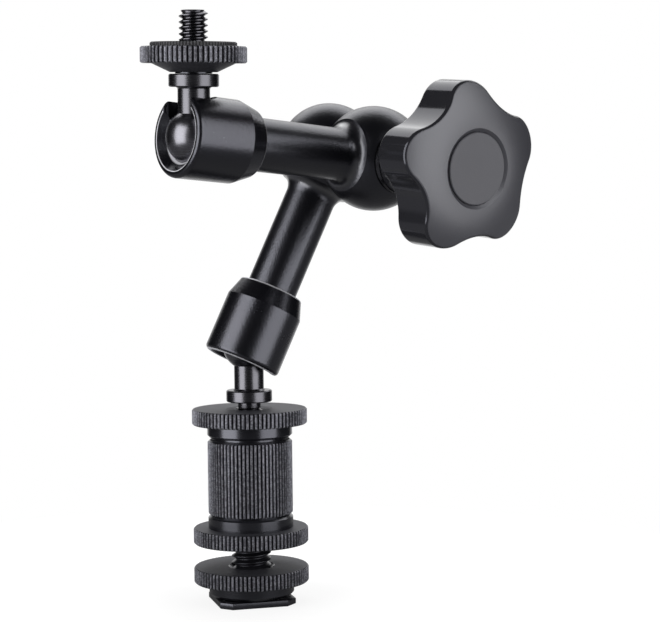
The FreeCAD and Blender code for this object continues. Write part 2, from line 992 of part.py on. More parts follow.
def star_knob(place):
    """Moulded five-lobed knob with a crowned face, a cap recess and a stem behind."""
    body = new_body("star_knob")
    back, crown = knob_back(), knob_crown()
    star = new_sketch(body, "star_outline", "XY_Plane", back)
    draw_star(star)
    pad = body.newObject("PartDesign::Pad", "star")
    pad.Profile = star
    pad.setExpression("Length", (crown - back).text)
    doc.recompute()
    tip = size("lobe_centre") + size("lobe_radius")
    ring, bevel = size("ring_radius"), size("ring_bevel")
    cap_hole = size("cap_radius") + size("cap_gap")
    floor = crown - size("cap_sunk") - size("cap_thickness")
    span, fall = tip - ring, size("knob_dome")
    dome = (span * span + fall * fall) / (2 * fall)
    beyond = tip * 1.2
    drop = dome - root(dome * dome - (beyond - ring) * (beyond - ring))
    turn(
        body,
        "face",
        [
            (0, floor),
            (cap_hole, floor),
            (cap_hole, crown - bevel),
            (ring, crown),
            Arc(ring, crown - dome),
            (beyond, Free((crown - drop).value)),
            (beyond, crown + fall),
            (0, crown + fall),
        ],
        kind="PartDesign::Groove",
    )
    turn(
        body,
        "stem",
        [
            (0, stem_base()),
            (size("stem_radius"), stem_base()),
            (size("stem_root_radius"), back),
            (size("stem_root_radius"), back + bevel),
            (0, back + bevel),
        ],
    )
    hole = size("insert_radius") + size("plug_gap")
    bore = new_sketch(body, "insert_hole_outline", "XY_Plane")
    draw_circle(bore, 0, 0, hole)
    drill = pocket(body, "insert_hole", bore, insert_end(), backwards=True)
    edges = []
    for index, edge in enumerate(drill.Shape.Edges, start=1):
        box = edge.BoundBox
        reach = math.hypot(edge.CenterOfMass.x, edge.CenterOfMass.y)
        level = box.ZLength < 1e-6 or box.ZMin > (crown - 2 * fall).value
        if level and reach > size("ring_radius").value + 1:
            edges.append(f"Edge{index}")
    soften = body.newObject("PartDesign::Fillet", "star_edges")
    soften.Base = (drill, edges)
    soften.setExpression("Radius", size("knob_round").text)
    doc.recompute()
    body.Placement = rolled(place, size("knob_turn").value)
    return body


def knob_cap(place):
    """Round cover disc that closes the knob's face."""
    body = new_body("knob_cap")
    top = knob_crown() - size("cap_sunk")
    low = top - size("cap_thickness")
    wide, edge = size("cap_radius"), size("cap_bevel")
    turn(body, "cap", [(0, low), (wide, low), (wide, top - edge), (wide - edge, top), (0, top)])
    body.Placement = place
    return body


def build():
    """Makes every piece of the arm in its stored place."""
    fill_sheet()
    pose = Pose()
    post_bore = size("post_radius") + size("thread_gap")
    screw_bore = size("screw_radius") + size("thread_gap")
    flipped = FreeCAD.Rotation(Vector(1, 0, 0), 180)
    adapter_place = Placement(Vector(0, 0, size("adapter_wheel_top").value), flipped)
    lower_full = size("lower_flange_far") + size("relief_length") + size("screw_bevel")
    upper_full = size("nut_rim_far") + size("pad_proud") + size("free_end_gap")
    parts = [
        shoe_foot(),
        lock_wheel("shoe_lock_wheel", post_bore, at_height(size("shoe_wheel_base").value)),
        lock_wheel("adapter_lock_wheel", post_bore, adapter_place),
        adapter_barrel(),
        lock_wheel("lower_lock_nut", screw_bore, at_height(stud_nut_base().value)),
        ball_stud(
            "lower_ball_stud",
            size("lower_flange_near"),
            size("lower_flange_far"),
            lower_full,
            size("lower_screw_end"),
            pose.lower_stud,
        ),
        ball_stud(
            "upper_ball_stud",
            size("upper_flange_near"),
            size("upper_flange_far"),
            upper_full,
            size("upper_screw_end"),
            pose.upper_stud,
        ),
        upper_lock_nut(pose.upper_stud),
        camera_pad(pose.upper_stud),
    ]
    for side, place in (("lower", pose.lower_arm), ("upper", pose.upper_arm)):
        slot = size(side + "_slot_roll").value
        parts += [
            arm_casting(side + "_arm", place),
            socket_cup(side + "_socket_cup", rolled(place, slot)),
            ball_seat(side + "_ball_seat", place),
            push_rod(side + "_push_rod", place),
        ]
    front, rear = pose.pivot_frame, pose.rear_wedge
    parts += [
        wedge("front_wedge", front_wedge_outer(), pose.front_wedge),
        wedge("rear_wedge", rear_wedge_outer(), rear),
        centre_bolt(front),
        return_spring(front),
    ]
    bush_reach = size("hub_web") - size("stem_gap")
    face_gap = size("hub_face_gap") / 2
    washer_low = face_gap + size("friction_recess")
    clear_bolt = size("bolt_radius") + size("bolt_gap")
    thrust_low = front_wedge_outer()
    plug_top = size("hub_spacing") / 2 + size("hub_flat_reach")
    parts += [
        ring_on_axis(
            "pivot_bush",
            size("bush_bore_radius"),
            size("bush_radius"),
            -bush_reach,
            bush_reach,
            front,
        ),
        ring_on_axis(
            "friction_washer",
            size("bush_radius") + size("thread_gap"),
            size("friction_radius"),
            -washer_low,
            washer_low - size("friction_gap"),
            front,
        ),
        ring_on_axis(
            "thrust_washer",
            clear_bolt,
            size("thrust_radius"),
            thrust_low,
            thrust_low + size("thrust_thickness"),
            front,
        ),
        ring_on_axis(
            "rear_end_plug",
            sized(0),
            size("hub_bore_radius") - size("plug_gap"),
            plug_top - size("plug_thickness"),
            plug_top,
            rear,
        ),
        star_knob(front),
        ring_on_axis(
            "knob_insert",
            size("bolt_radius") + size("thread_gap"),
            size("insert_radius"),
            stem_base(),
            insert_end(),
            front,
        ),
        knob_cap(front),
    ]
    return parts


def check(parts):
    """Stops if any object failed or any piece is not one valid solid."""
    doc.recompute()
    for item in doc.Objects:
        if "Invalid" in item.State or "Error" in item.State:
            raise ValueError(f"{item.Name} failed: {item.State}")
    for piece in parts:
        shape = piece.Shape
        if shape.isNull() or not shape.isValid() or len(shape.Solids) != 1:
            raise ValueError(f"{piece.Label} is not one valid solid")


def write(parts):
    os.makedirs("parts", exist_ok=True)
    for piece in parts:
        piece.Shape.exportStep(f"parts/{piece.Label}.step")
        print(f"{piece.Label}: {piece.Shape.Volume:.1f} cubic millimetres")


pieces = build()
check(pieces)
write(pieces)
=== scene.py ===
# %% [markdown]
# A friction arm holds a camera light or monitor beside a camera. Two short arms end
# in ball joints and meet at one elbow, and a star knob clamps all of it at once.
# The solids come in already placed, so this lesson dresses them: it adds the camera,
# a white studio, a finish for each kind of surface and the screw threads.

# %% Load the arm
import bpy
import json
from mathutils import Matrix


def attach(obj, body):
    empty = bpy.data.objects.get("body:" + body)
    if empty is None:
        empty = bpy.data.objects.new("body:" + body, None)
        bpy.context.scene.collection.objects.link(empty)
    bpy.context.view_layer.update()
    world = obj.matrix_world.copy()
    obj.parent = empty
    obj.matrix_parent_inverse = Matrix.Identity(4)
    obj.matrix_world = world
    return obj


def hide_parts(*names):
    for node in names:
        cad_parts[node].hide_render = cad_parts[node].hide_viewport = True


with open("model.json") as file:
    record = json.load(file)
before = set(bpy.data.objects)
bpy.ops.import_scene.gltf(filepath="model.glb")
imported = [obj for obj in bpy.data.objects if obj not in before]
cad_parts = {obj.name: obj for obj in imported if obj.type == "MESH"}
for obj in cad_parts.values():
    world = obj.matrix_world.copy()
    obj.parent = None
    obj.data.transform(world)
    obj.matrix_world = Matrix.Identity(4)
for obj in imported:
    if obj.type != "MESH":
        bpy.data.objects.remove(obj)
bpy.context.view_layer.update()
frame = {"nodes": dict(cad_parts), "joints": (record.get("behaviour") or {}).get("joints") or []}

# %% [markdown]
# Everything is in metres here, while a machinist thinks in millimetres. One small
# value turns the drawing's sizes into the scene's, and the joints of the loaded
# arm say where its balls and its pivot are.

# %% Sizes and places taken from the arm
import json
import math

import bmesh
import bpy
from mathutils import Matrix, Vector

MM = 0.001
UP = Vector((0, 0, 1))
joints = {joint["name"]: joint for joint in frame["joints"]}


def place_of(joint):
    return Vector(joints[joint]["pos_m"])


def axis_of(joint):
    return Vector(joints[joint]["axis"]).normalized()


pivot_middle, pivot_axis = place_of("elbow_turn"), axis_of("elbow_turn")
lower_ball, lower_axis = place_of("lower_arm_roll"), axis_of("lower_arm_roll")
upper_ball, upper_axis = place_of("upper_ball_roll"), -axis_of("upper_ball_roll")
screw_axis = axis_of("upper_pad_slide")
print("elbow at", [round(value / MM, 1) for value in pivot_middle])

# %% [markdown]
# The camera stands where the photographer's did: four tenths of a metre away, a
# little above the arm's middle, looking slightly down through a long lens. A long
# lens keeps the round wheels from bulging. Its place was measured from the photo,
# because one set by eye never makes the outlines meet. The three directions of the
# view are worked out from pitch, heading and roll, and become the camera's rotation.

# %% Camera
PITCH, HEADING, ROLL = math.radians(2.910), math.radians(-15.556), math.radians(-0.652)
STAND = Vector((-0.091646, -0.402673, 0.091040))
FILM_WIDTH = 36
FOCAL_PIXELS, PHOTO_PIXELS = 1717.6, 660


def viewing_camera():
    turn = Matrix.Rotation(HEADING, 3, "Z")
    ahead = turn @ Vector((0, math.cos(PITCH), -math.sin(PITCH)))
    right = turn @ Vector((1, 0, 0))
    above = turn @ Vector((0, math.sin(PITCH), math.cos(PITCH)))
    side = right * math.cos(ROLL) + above * math.sin(ROLL)
    top = above * math.cos(ROLL) - right * math.sin(ROLL)
    data = bpy.data.cameras.new("viewpoint")
    data.sensor_width = FILM_WIDTH
    data.lens = FILM_WIDTH * FOCAL_PIXELS / PHOTO_PIXELS
    data.clip_start = 0.01
    camera = bpy.data.objects.new("viewpoint", data)
    turned = Matrix((side, top, -ahead)).transposed().to_4x4()
    camera.matrix_world = Matrix.Translation(STAND) @ turned
    bpy.context.scene.collection.objects.link(camera)
    bpy.context.scene.camera = camera
    return camera


camera = viewing_camera()
bpy.context.scene.view_settings.view_transform = "Standard"
print("camera lens in millimetres:", round(camera.data.lens, 1))

# %% [markdown]
# A finish is a network of shader nodes. Wiring each node by hand hides the idea, so
# a socket is wrapped in a small class that knows plus, minus and times: writing
# 1 - mask then adds the Math node that does it. Two masks joined with | keep the
# larger of the two at each point, which is the union of the places they mark.

# %% A socket that can be used in sums
class Reading:
    """One output of a node tree, ready to be used in sums."""

    def __init__(self, wiring, socket):
        self.wiring = wiring
        self.socket = socket

    def joined(self, operation, first, second):
        return self.wiring.node(
            "ShaderNodeMath", {"operation": operation}, {0: first, 1: second}
        )

    def __add__(self, other):
        return self.joined("ADD", self, other)

    def __radd__(self, other):
        return self.joined("ADD", other, self)

    def __sub__(self, other):
        return self.joined("SUBTRACT", self, other)

    def __rsub__(self, other):
        return self.joined("SUBTRACT", other, self)

    def __mul__(self, other):
        return self.joined("MULTIPLY", self, other)

    def __rmul__(self, other):
        return self.joined("MULTIPLY", other, self)

    def __or__(self, other):
        return self.joined("MAXIMUM", self, other)


print("sums of sockets ready: + - * and |")

# %% [markdown]
# All nodes come from one method. It sets what kind of node it is first, because that
# can change its sockets, and then gives each socket a plain value or a link. The
# world's backdrop and every finish need the same few helpers, so they share a class.

# %% Wiring shared by the world and the finishes
class Wiring:
    """A node tree under construction."""

    def __init__(self, tree):
        self.tree = tree

    def fill(self, socket, value):
        """Gives a socket a plain value or a link."""
        if isinstance(value, Reading):
            self.tree.links.new(value.socket, socket)
        else:
            socket.default_value = value

    def node(self, kind, settings, inputs, output=0):
        """Adds one node, first its settings and then its sockets."""
        node = self.tree.nodes.new(kind)
        for name, value in settings.items():
            setattr(node, name, value)
        for name, value in inputs.items():
            self.fill(node.inputs[name], value)
        return Reading(self, node.outputs[output])

    def ray(self, kind):
        """1 where the ray that looks is of this kind, and 0 for all others."""
        return self.node("ShaderNodeLightPath", {}, {}, kind)

    def dot(self, vector, axis):
        """How far a vector reaches along an axis."""
        return self.node(
            "ShaderNodeVectorMath",
            {"operation": "DOT_PRODUCT"},
            {0: vector, 1: tuple(axis)},
            "Value",
        )

    def step(self, value, start, end):
        """0 before start, 1 past end and a smooth change between."""
        return self.node(
            "ShaderNodeMapRange",
            {"interpolation_type": "SMOOTHSTEP"},
            {"Value": value, "From Min": start, "From Max": end},
        )

    def blend(self, mask, first, second):
        """The first colour where the mask is 0 and the second where it is 1."""
        first, second = (
            colour if isinstance(colour, Reading) else (*colour, 1)
            for colour in (first, second)
        )
        return self.node(
            "ShaderNodeMix", {"data_type": "RGBA"}, {0: mask, 6: first, 7: second}, 2
        )


print("wiring helpers ready")

# %% [markdown]
# A finish also has to know where on the piece a point lies, because turned and
# knurled pieces change along and around their axes. Its measures are in millimetres
# from a point on the axis, read from the object's own coordinates, so that a pattern
# stays on its piece when the piece moves.

# %% Finish with its measures and patterns
class Finish(Wiring):
    """A material under construction: its principled shader and what feeds it."""

    def __init__(self, name):
        self.material = bpy.data.materials.new(name)
        self.material.use_nodes = True
        super().__init__(self.material.node_tree)
        self.shader = self.tree.nodes["Principled BSDF"]

    def feed(self, name, value):
        self.fill(self.shader.inputs[name], value)

    def place(self):
        return self.node("ShaderNodeTexCoord", {}, {}, "Object")

    def offset(self, origin):
        """The way from origin to the point."""
        return self.node(
            "ShaderNodeVectorMath",
            {"operation": "SUBTRACT"},
            {0: self.place(), 1: tuple(origin)},
        )

    def along(self, origin, axis, unit=MM):
        """How far the point lies along an axis through origin."""
        return self.dot(self.offset(origin), axis / unit)

    def away(self, origin, axis):
        """How far the point lies from an axis through origin."""
        across = self.node(
            "ShaderNodeVectorMath",
            {"operation": "CROSS_PRODUCT"},
            {0: self.offset(origin), 1: tuple(axis / MM)},
        )
        return self.length(across)

    def length(self, vector):
        return self.node(
            "ShaderNodeVectorMath", {"operation": "LENGTH"}, {0: vector}, "Value"
        )

    def towards(self, axis):
        """How squarely the surface faces along an axis: 1 faces it, -1 faces away."""
        return self.dot(self.node("ShaderNodeTexCoord", {}, {}, "Normal"), axis)

    def noise(self, scale, detail=2.0, where=None):
        """Cloudy noise from 0 to 1, scale being its lumps to the metre."""
        return self.node(
            "ShaderNodeTexNoise",
            {},
            {"Vector": where or self.place(), "Scale": scale, "Detail": detail},
        )

    def bump(self, height, depth, strength=1.0):
        """Raises the surface by height times depth, in metres."""
        return self.node(
            "ShaderNodeBump",
            {},
            {"Height": height, "Distance": depth, "Strength": strength},
        )


print("finish tools ready")

# %% [markdown]
# The photograph is a catalogue picture: the arm stands in front of pure white. It
# gets a small round table that catches a soft shadow round the foot. The camera sees
# the table lighter than the lamps make it, and lighter still further out, until it is
# as white as the backdrop. A reflection gets only a tenth of that glow, or the wheels
# would shine from below.

# %% Table under the arm
TABLE_RADIUS = 0.14
SHADOW_NEAR, SHADOW_FAR = 0.012, 0.05
SHADOW_DEPTH = 0.13


def pale_table():
    mesh = bmesh.new()
    bmesh.ops.create_circle(mesh, cap_ends=True, segments=96, radius=TABLE_RADIUS)
    data = bpy.data.meshes.new("studio_floor")
    mesh.to_mesh(data)
    mesh.free()
    table = bpy.data.objects.new("studio_floor", data)
    bpy.context.scene.collection.objects.link(table)
    finish = Finish("pale_floor")
    finish.feed("Base Color", (0.15, 0.15, 0.15, 1))
    finish.feed("Roughness", 0.9)
    finish.feed("Specular IOR Level", 0.0)
    reach = finish.length(finish.place())
    clear = finish.step(reach, SHADOW_NEAR, SHADOW_FAR)
    white = clear * SHADOW_DEPTH + (1 - SHADOW_DEPTH)
    seen, through = finish.ray("Is Camera Ray"), finish.ray("Is Transmission Ray")
    shown = seen + through + finish.ray("Is Glossy Ray") * 0.1
    glow = finish.node("ShaderNodeEmission", {}, {"Strength": shown * white})
    lit = Reading(finish, finish.shader.outputs[0])
    both = finish.node("ShaderNodeAddShader", {}, {0: lit, 1: glow})
    finish.fill(finish.tree.nodes["Material Output"].inputs[0], both)
    data.materials.append(finish.material)
    return table


table = pale_table()
print("table radius in metres:", TABLE_RADIUS, "faces:", len(table.data.polygons))

# %% [markdown]
# Black metal mirrors the whole room, so the world around it matters. Straight to the
# camera it is plain white. In a reflection it is white only behind the arm, where the
# lit backdrop hangs, nearly black in front, where the photographer stands, and grey
# below the table's level, which lifts the undersides of wheels and tubes a little.

# %% Backdrop
SWEEP = (0.76, 0.95)
BELOW = (-0.12, -0.26)
FRONT_DARK, BELOW_GREY = (0.014, 0.014, 0.017), (0.20, 0.20, 0.21)


def studio_world():
    world = bpy.data.worlds.new("studio")
    bpy.context.scene.world = world
    world.use_nodes = True
    sky = Wiring(world.node_tree)
    looking = sky.node("ShaderNodeTexCoord", {}, {}, "Generated")
    behind = sky.dot(looking, Matrix.Rotation(HEADING, 3, "Z") @ Vector((0, 1, 0)))
    mirrored = sky.ray("Is Glossy Ray") * sky.step(behind, *SWEEP)
    white = mirrored | sky.ray("Is Camera Ray") | sky.ray("Is Transmission Ray")
    room = sky.blend(sky.step(sky.dot(looking, UP), *BELOW), FRONT_DARK, BELOW_GREY)
    colour = sky.blend(white, room, (1, 1, 1))
    sky.fill(world.node_tree.nodes["Background"].inputs["Color"], colour)
    return world


world = studio_world()
print("world built:", world.name)

# %% [markdown]
# Two tall softboxes, one on each side of the camera, give every upright cylinder its
# two pale stripes. They reach from below the table's level to well above the arm, so
# that no stripe ends halfway down a wheel. A wide one, high above and behind the arm,
# draws the band along the top of the level arm and of the knob's sides. Small lamps
# would leave thin hard lines on black metal instead. Each lamp is placed by its
# bearing, counted from the camera's, and by its height in degrees.

# %% Softboxes
MIDDLE = Vector((0.005, -0.015, 0.075))
DISTANCE = 0.9


def softbox(name, bearing, elevation, width, height, power):
    """A rectangular lamp aimed at the arm's middle, sizes in metres, power in watts."""
    data = bpy.data.lights.new(name, "AREA")
    data.shape = "RECTANGLE"
    data.size, data.size_y = width, height
    data.energy = power
    lamp = bpy.data.objects.new(name, data)
    turn, tilt = math.radians(bearing), math.radians(elevation)
    towards = Matrix.Rotation(HEADING, 3, "Z") @ Vector(
        (
            math.sin(turn) * math.cos(tilt),
            -math.cos(turn) * math.cos(tilt),
            math.sin(tilt),
        )
    )
    lamp.location = MIDDLE + towards * DISTANCE
    lamp.rotation_euler = towards.to_track_quat("Z", "Y").to_euler()
    bpy.context.scene.collection.objects.link(lamp)
    return lamp


softbox("softbox_left", -55, 10, 0.78, 1.05, 10.4)
softbox("softbox_right", 56, 10, 0.82, 1.1, 8.0)
softbox("softbox_top", 174, 50, 1.3, 0.58, 4.9)
print("softboxes placed:", len(bpy.data.lights))

# %% [markdown]
# Both arms and their hubs are aluminium, blasted to a fine satin and then anodised
# black. The dye leaves the metal nearly black, so what shows is a soft, slightly cool
# reflection with a very fine grain. Noise at two sizes gives the grain and a slight
# unevenness of the sheen. An image could show the same grain, but noise needs no
# unwrapping and stays sharp from near. The hollow where a tube runs into its hub is
# rubbed smooth and shines harder, so a clear coat covers that ring and nothing else.

# %% Satin anodised arms
COOL = (0.87, 0.88, 1.0, 1.0)
RING_START, RING_END, TUBE_SKIN = (36.0, 38.0), (40.6, 42.0), (6.1, 6.9)


def anodised(name):
    """A finish with the sheen of a dyed oxide layer."""
    finish = Finish(name)
    finish.feed("Specular IOR Level", 0.85)
    finish.feed("Specular Tint", COOL)
    return finish


def satin_arm(name, ball, axis):
    finish = anodised(name)
    cloud, grain = finish.noise(90.0, 3.0), finish.noise(2200.0)
    along, away = finish.along(ball, axis), finish.away(ball, axis)
    near_hub = finish.step(along, *RING_START) * (1 - finish.step(along, *RING_END))
    black = finish.blend(cloud, (0.0018, 0.0018, 0.0025), (0.0038, 0.0038, 0.0049))
    finish.feed("Base Color", black)
    finish.feed("Coat Weight", near_hub * finish.step(away, *TUBE_SKIN))
    finish.feed("Coat Roughness", 0.2)
    finish.feed("Coat IOR", 1.8)
    finish.feed("Roughness", cloud * 0.06 + (grain * 0.08 + 0.23))
    finish.feed("Normal", finish.bump(grain, 0.000043))
    return finish.material


lower_satin = satin_arm("satin_lower_arm", lower_ball, lower_axis)
upper_satin = satin_arm("satin_upper_arm", upper_ball, upper_axis)
print("satin made:", lower_satin.name, upper_satin.name)

# %% [markdown]
# The socket cups have the same satin, with a painted highlight on their sharp edges:
# pale, partly metallic colour on the ring at the back, the inner rim of the mouth and
# the lip that holds the ball stands in for the light that these edges catch.
# Each edge is found by how far along the cup and how far from its axis a point lies.
# The two cups catch the light differently, so each says how bright its painted back
# ring is and where its rim begins.

# %% Satin cups with painted edge highlights
BACK_LEVEL, BACK_REACH = (13.85, 14.1), (7.1, 7.4)
LIP_LEVEL, LIP_REACH = (-2.62, -2.5), (6.15, 6.4)


def satin_cup(name, ball, axis, back_highlight, level, reach):
    finish = anodised(name)
    cloud, grain = finish.noise(90.0, 3.0), finish.noise(2200.0)
    along, away = finish.along(ball, axis), finish.away(ball, axis)
    back = finish.step(along, *BACK_LEVEL) * finish.step(away, *BACK_REACH) * back_highlight
    front = 1 - finish.step(along, level, level + 0.08)
    rim = front * (1 - finish.step(away, reach, reach + 0.1))
    lip = (1 - finish.step(away, *LIP_REACH)) * (1 - finish.step(along, *LIP_LEVEL))
    # Painted highlight: the edges are coloured pale to stand in for the light they catch.
    edge_highlight = (back | rim | lip) * (cloud * 0.3 + 0.7)
    black = finish.blend(cloud, (0.0012, 0.0012, 0.0018), (0.0028, 0.0028, 0.0037))
    finish.feed("Base Color", finish.blend(edge_highlight, black, (0.80, 0.80, 0.84)))
    finish.feed("Metallic", edge_highlight * 0.4)
    finish.feed("Roughness", edge_highlight * 0.25 + (cloud * 0.06 + (grain * 0.05 + 0.20)))
    finish.feed("Normal", finish.bump(grain, 0.000036))
    return finish.material


lower_cup = satin_cup("satin_lower_cup", lower_ball, lower_axis, 0.85, -4.66, 8.8)
upper_cup = satin_cup("satin_upper_cup", upper_ball, upper_axis, 0.2, -4.76, 7.96)
print("cup finishes made:", lower_cup.name, upper_cup.name)

# %% [markdown]
# The wheels, the barrel and the top nut are knurled. The crests get a painted
# highlight: pale colour flecked with painted glints, where the black metal catches
# light. The grooves stay black, the flat tops are blasted to a dull grain, and the
# plain collars keep the fine rings of the turning tool. The loaded pieces have every
# ridge as real shape, so the finish only has to know where it is on them: the
# distance from the axis tells crests from grooves, and the way a surface faces tells
# tops from sides.

# %% Knurled aluminium
GROOVE_DEPTH, CREST_DEPTH = 0.27, 0.13


def knurled_anodised(name, origin, axis, rim):
    """Knurling whose crests stand at the radius rim, in millimetres."""
    finish = anodised(name)
    cloud = finish.noise(140.0, 3.0)
    grain = finish.noise(2600.0)
    # speck flecks the painted crest highlight with painted glints and gives the tops their
    # grain.
    speck = finish.step(grain * 0.75 + finish.noise(800.0, 1.0) * 0.25, 0.42, 0.62)
    rings = finish.noise(1.0, 1.0, finish.along(origin, axis, MM / 7))
    away = finish.away(origin, axis)
    crest = finish.step(away, rim - GROOVE_DEPTH, rim - CREST_DEPTH)
    facing = finish.towards(axis)
    top = finish.step(facing * facing, 0.5, 0.8)
    # Painted highlight: pale colour on the crests, where the black knurl catches light.
    crest_highlight = finish.blend(speck, (0.046, 0.046, 0.053), (0.205, 0.205, 0.230))
    side = finish.blend(crest, (0.0070, 0.0070, 0.0085), crest_highlight)
    dull = finish.blend(speck, (0.007, 0.007, 0.0085), (0.024, 0.024, 0.028))
    rough = top | crest
    finish.feed("Base Color", finish.blend(top, side, dull))
    base = rough * 0.18 + (top * 0.16 + 0.16)
    finish.feed("Roughness", cloud * 0.08 + (rings * 0.05 + base))
    height = grain * rough + rings * (1 - rough) * 0.06
    finish.feed("Normal", finish.bump(height, 0.000024, 0.9))
    return finish.material


wheel_black = knurled_anodised("knurled_wheel", Vector(), UP, 13.85)
barrel_black = knurled_anodised("knurled_barrel", Vector(), UP, 10.2)
nut_black = knurled_anodised("knurled_nut", upper_ball, screw_axis, 11.65)
print("knurled made:", wheel_black.name, barrel_black.name, nut_black.name)

# %% [markdown]
# The shoe foot is blasted and anodised too, but has no knurl to rub bright. Only a
# scatter of faint specks and a fine grain break its black.

# %% Blasted foot
def blasted_anodised():
    finish = anodised("blasted_anodised")
    cloud, grain = finish.noise(140.0, 3.0), finish.noise(3600.0)
    speck = finish.step(grain, 0.52, 0.72)
    black = finish.blend(speck, (0.006, 0.006, 0.0072), (0.018, 0.018, 0.021))
    finish.feed("Base Color", black)
    finish.feed("Roughness", cloud * 0.1 + (grain * 0.1 + 0.22))
    finish.feed("Normal", finish.bump(grain, 0.000012, 0.7))
    return finish.material


blasted = blasted_anodised()
print("foot finish made:", blasted.name)

# %% [markdown]
# The ball studs are steel, turned bright and plated black, and so is the washer under
# the knob. Turning leaves fine rings round the axis, so the noise is read along the
# stud only. The ball glides in its cup and is polished by it, so it is brighter than
# the neck, which begins about five millimetres from the ball's middle.

# %% Plated steel
NECK_START = (4.9, 5.4)


def plated_steel(name, origin, axis):
    finish = Finish(name)
    rings = finish.noise(1.0, 2.0, finish.along(origin, axis, MM / 9))
    cloud = finish.noise(220.0)
    ball = 1 - finish.step(finish.along(origin, axis), *NECK_START)
    turned = finish.blend(cloud, (0.088, 0.087, 0.097), (0.125, 0.123, 0.136))
    polished = finish.blend(cloud, (0.135, 0.134, 0.148), (0.175, 0.173, 0.190))
    finish.feed("Base Color", finish.blend(ball, turned, polished))
    finish.feed("Metallic", 1.0)
    finish.feed("Roughness", rings * 0.08 + (cloud * 0.06 + 0.20))
    finish.feed("Normal", finish.bump(rings, 0.000003, 0.35))
    return finish.material


upper_steel = plated_steel("plated_upper_stud", upper_ball, screw_axis)
lower_steel = plated_steel("plated_lower_stud", lower_ball, -UP)
washer_steel = plated_steel("plated_washer", pivot_middle, pivot_axis)
print("plated steel made:", upper_steel.name, lower_steel.name, washer_steel.name)

# %% [markdown]
# The knob is moulded in black plastic. Its mould was polished for the sides and
# finely etched for the face, so one finish changes from gloss to satin where the
# surface turns towards the front. The etched skin has a broad soft sheen as well,
# which a coat on the face gives. The round cover in it is a paler disc of its own.

# %% Moulded knob and its cover
def moulded_knob():
    finish = Finish("moulded_knob")
    face = finish.step(finish.towards(pivot_axis), 0.74, 0.86)
    grain, cloud = finish.noise(2600.0), finish.noise(70.0)
    black = finish.blend(face, (0.018, 0.018, 0.021), (0.044, 0.044, 0.051))
    finish.feed("Base Color", black)
    finish.feed("Roughness", face * (grain * 0.08 + 0.24) + (cloud * 0.04 + 0.10))
    finish.feed("Specular IOR Level", 0.5)
    finish.feed("Specular Tint", COOL)
    finish.feed("Coat Weight", face)
    finish.feed("Coat Roughness", 0.35)
    finish.feed("Normal", finish.bump(grain * face, 0.000026))
    return finish.material


def knob_cover():
    finish = Finish("knob_cover")
    grain, cloud = finish.noise(2600.0), finish.noise(120.0)
    grey = finish.blend(cloud, (0.083, 0.083, 0.094), (0.094, 0.094, 0.107))
    finish.feed("Base Color", grey)
    finish.feed("Roughness", grain * 0.08 + 0.44)
    finish.feed("Normal", finish.bump(grain, 0.000022))
    return finish.material


knob_plastic, cover_plastic = moulded_knob(), knob_cover()
print("knob finishes made:", knob_plastic.name, cover_plastic.name)

# %% [markdown]
# The ring on the top nut is black rubber, moulded with fine ribs that grip a camera.
# The ribs run outwards, so they are a sine of the angle round the screw. They stand
# two tenths of a millimetre high, less than a pixel here, so a bump is enough.

# %% Rubber tread
RIBS = 84.0


def rubber_tread(origin, axis):
    finish = Finish("rubber_tread")
    lumps = finish.noise(1500.0, 3.0)
    first = axis.orthogonal().normalized()
    across = finish.along(origin, axis.cross(first))
    angle = finish.node(
        "ShaderNodeMath",
        {"operation": "ARCTAN2"},
        {0: across, 1: finish.along(origin, first)},
    )
    wave = finish.node("ShaderNodeMath", {"operation": "SINE"}, {0: angle * RIBS})
    rib = finish.step(wave, -0.4, 0.5)
    black = finish.blend(rib * lumps, (0.006, 0.006, 0.007), (0.120, 0.120, 0.130))
    finish.feed("Base Color", black)
    finish.feed("Roughness", lumps * 0.2 + 0.55)
    finish.feed("Normal", finish.bump(rib + lumps * 0.3, 0.0002, 0.9))
    return finish.material


rubber = rubber_tread(upper_ball, screw_axis)
print("rubber made:", rubber.name)

# %% [markdown]
# What is shut inside shows only when the arm is taken apart. It keeps a plain
# workshop finish: turned brass for the bush and the insert, bright steel for what
# carries the clamping force, and white bearing plastic for what slides. One function
# serves both metals, because only colour and gloss differ.

# %% Inner metals and plastic
def turned_metal(name, dark, light, roughness):
    finish = Finish(name)
    cloud = finish.noise(600.0, 3.0)
    finish.feed("Base Color", finish.blend(cloud, dark, light))
    finish.feed("Metallic", 1.0)
    finish.feed("Roughness", cloud * 0.15 + roughness)
    finish.feed("Normal", finish.bump(cloud, 0.00001, 0.4))
    return finish.material


def bearing_plastic():
    finish = Finish("bearing_plastic")
    cloud = finish.noise(400.0)
    white = finish.blend(cloud, (0.72, 0.72, 0.69), (0.78, 0.78, 0.75))
    finish.feed("Base Color", white)
    finish.feed("Roughness", cloud * 0.1 + 0.4)
    finish.feed("Normal", finish.bump(cloud, 0.00001, 0.3))
    return finish.material


brass = turned_metal("turned_brass", (0.50, 0.34, 0.12), (0.62, 0.44, 0.18), 0.22)
bright = turned_metal("bright_steel", (0.38, 0.38, 0.39), (0.52, 0.52, 0.53), 0.2)
acetal = bearing_plastic()
print("finishes made in all:", len(bpy.data.materials))

# %% [markdown]
# Each loaded piece gets the finish of the real one. A piece that came in with a
# material of its own has it exchanged, and one without gets a first slot.

